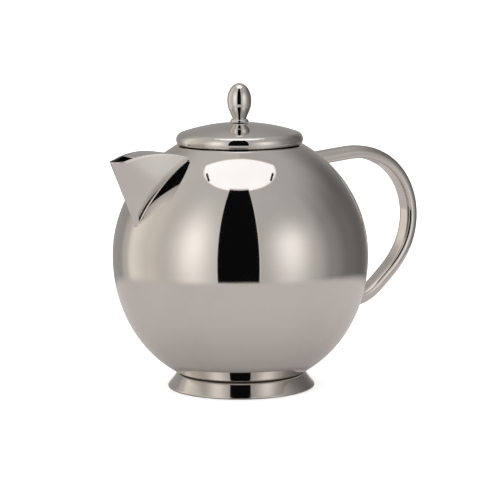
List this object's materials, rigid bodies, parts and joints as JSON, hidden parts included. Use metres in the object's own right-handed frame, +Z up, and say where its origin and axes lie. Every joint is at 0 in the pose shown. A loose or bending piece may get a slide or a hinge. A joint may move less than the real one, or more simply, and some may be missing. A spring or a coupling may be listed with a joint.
{
  "type": "teapot",
  "caption": "Ball-shaped polished steel teapot on a flared foot, with a folded beak spout, D-section tube handle and lift-off domed lid with an egg-shaped knob, for brewing and pouring tea.",
  "frame": {"origin": "middle of the overall length and width, on the plane that the foot ring stands on; the pot's own axis is 19.9 mm towards the spout", "axes": "+Z up, +X from the spout towards the handle, +Y across the pot"},
  "size_m": [0.2025, 0.14, 0.1668],
  "materials": {
    "body_steel": "mirror polished stainless steel, slightly warm",
    "spout_steel": "mirror polished folded stainless sheet with polished weld lines",
    "handle_steel": "mirror polished stainless tube",
    "lid_steel": "mirror polished stainless steel",
    "inner_steel": "satin stainless steel out of sight"
  },
  "bodies": {
    "pot": {"lower_shell": "body_steel", "upper_shell": "body_steel", "neck_ring": "inner_steel", "foot_ring": "body_steel", "spout_body": "spout_steel", "spout_cover": "spout_steel", "handle_tube": "handle_steel"},
    "lid": {"lid_dome": "lid_steel", "lid_liner": "inner_steel", "knob": "lid_steel", "knob_washer": "inner_steel", "knob_screw": "inner_steel"}
  },
  "joints": [
    {"name": "lid_lift", "type": "slide", "parent": "pot", "child": "lid", "axis": [0, 0, 1], "range_m": [0, 0.045]}
  ]
}
